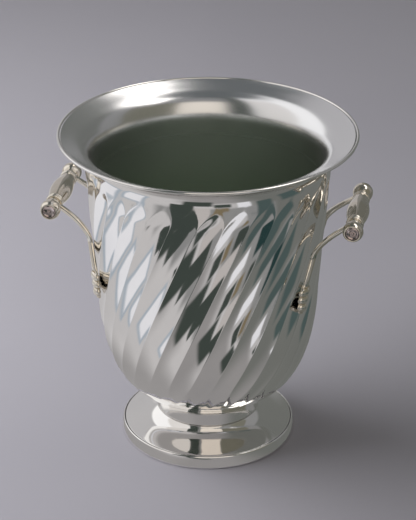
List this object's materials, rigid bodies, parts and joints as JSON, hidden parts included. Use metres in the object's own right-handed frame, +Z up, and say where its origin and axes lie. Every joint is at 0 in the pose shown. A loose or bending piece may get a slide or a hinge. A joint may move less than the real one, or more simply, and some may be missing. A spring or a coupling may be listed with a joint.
{
  "type": "champagne bucket",
  "caption": "Footed champagne bucket with a flared rim, twisted fluted walls, a smooth inner liner and turned side handles.",
  "frame": {"origin": "centre of the foot on the surface it stands on", "axes": "+Z up along the bucket's axis, X through the two handles, Y along the grips"},
  "size_m": [0.239, 0.2204, 0.2468],
  "materials": {
    "polished_silver": "mirror-polished silver plate",
    "satin_liner": "satin, spun in circles",
    "cast_silver": "polished cast silver plate, slightly warm",
    "brass_backing": "turned brass, unplated",
    "steel_fixing": "plain machined steel",
    "cork_seat": "cut cork"
  },
  "bodies": {
    "root": {"outer_shell": "polished_silver", "inner_liner": "satin_liner", "rim_wire": "polished_silver", "liner_seat_ring": "cork_seat", "neck_collar": "polished_silver", "foot_dome": "polished_silver", "foot_band": "polished_silver", "foot_bolt": "steel_fixing", "foot_clamp_plate": "brass_backing", "foot_nut": "steel_fixing", "right_grip": "cast_silver", "right_tie_rod": "brass_backing", "right_ring_back": "cast_silver", "right_ring_front": "cast_silver", "right_finial_back": "cast_silver", "right_finial_front": "cast_silver", "right_button_back": "cast_silver", "right_button_front": "cast_silver", "right_arm_back": "cast_silver", "right_arm_front": "cast_silver", "left_grip": "cast_silver", "left_tie_rod": "brass_backing", "left_ring_back": "cast_silver", "left_ring_front": "cast_silver", "left_finial_back": "cast_silver", "left_finial_front": "cast_silver", "left_button_back": "cast_silver", "left_button_front": "cast_silver", "left_arm_back": "cast_silver", "left_arm_front": "cast_silver"}
  },
  "joints": []
}
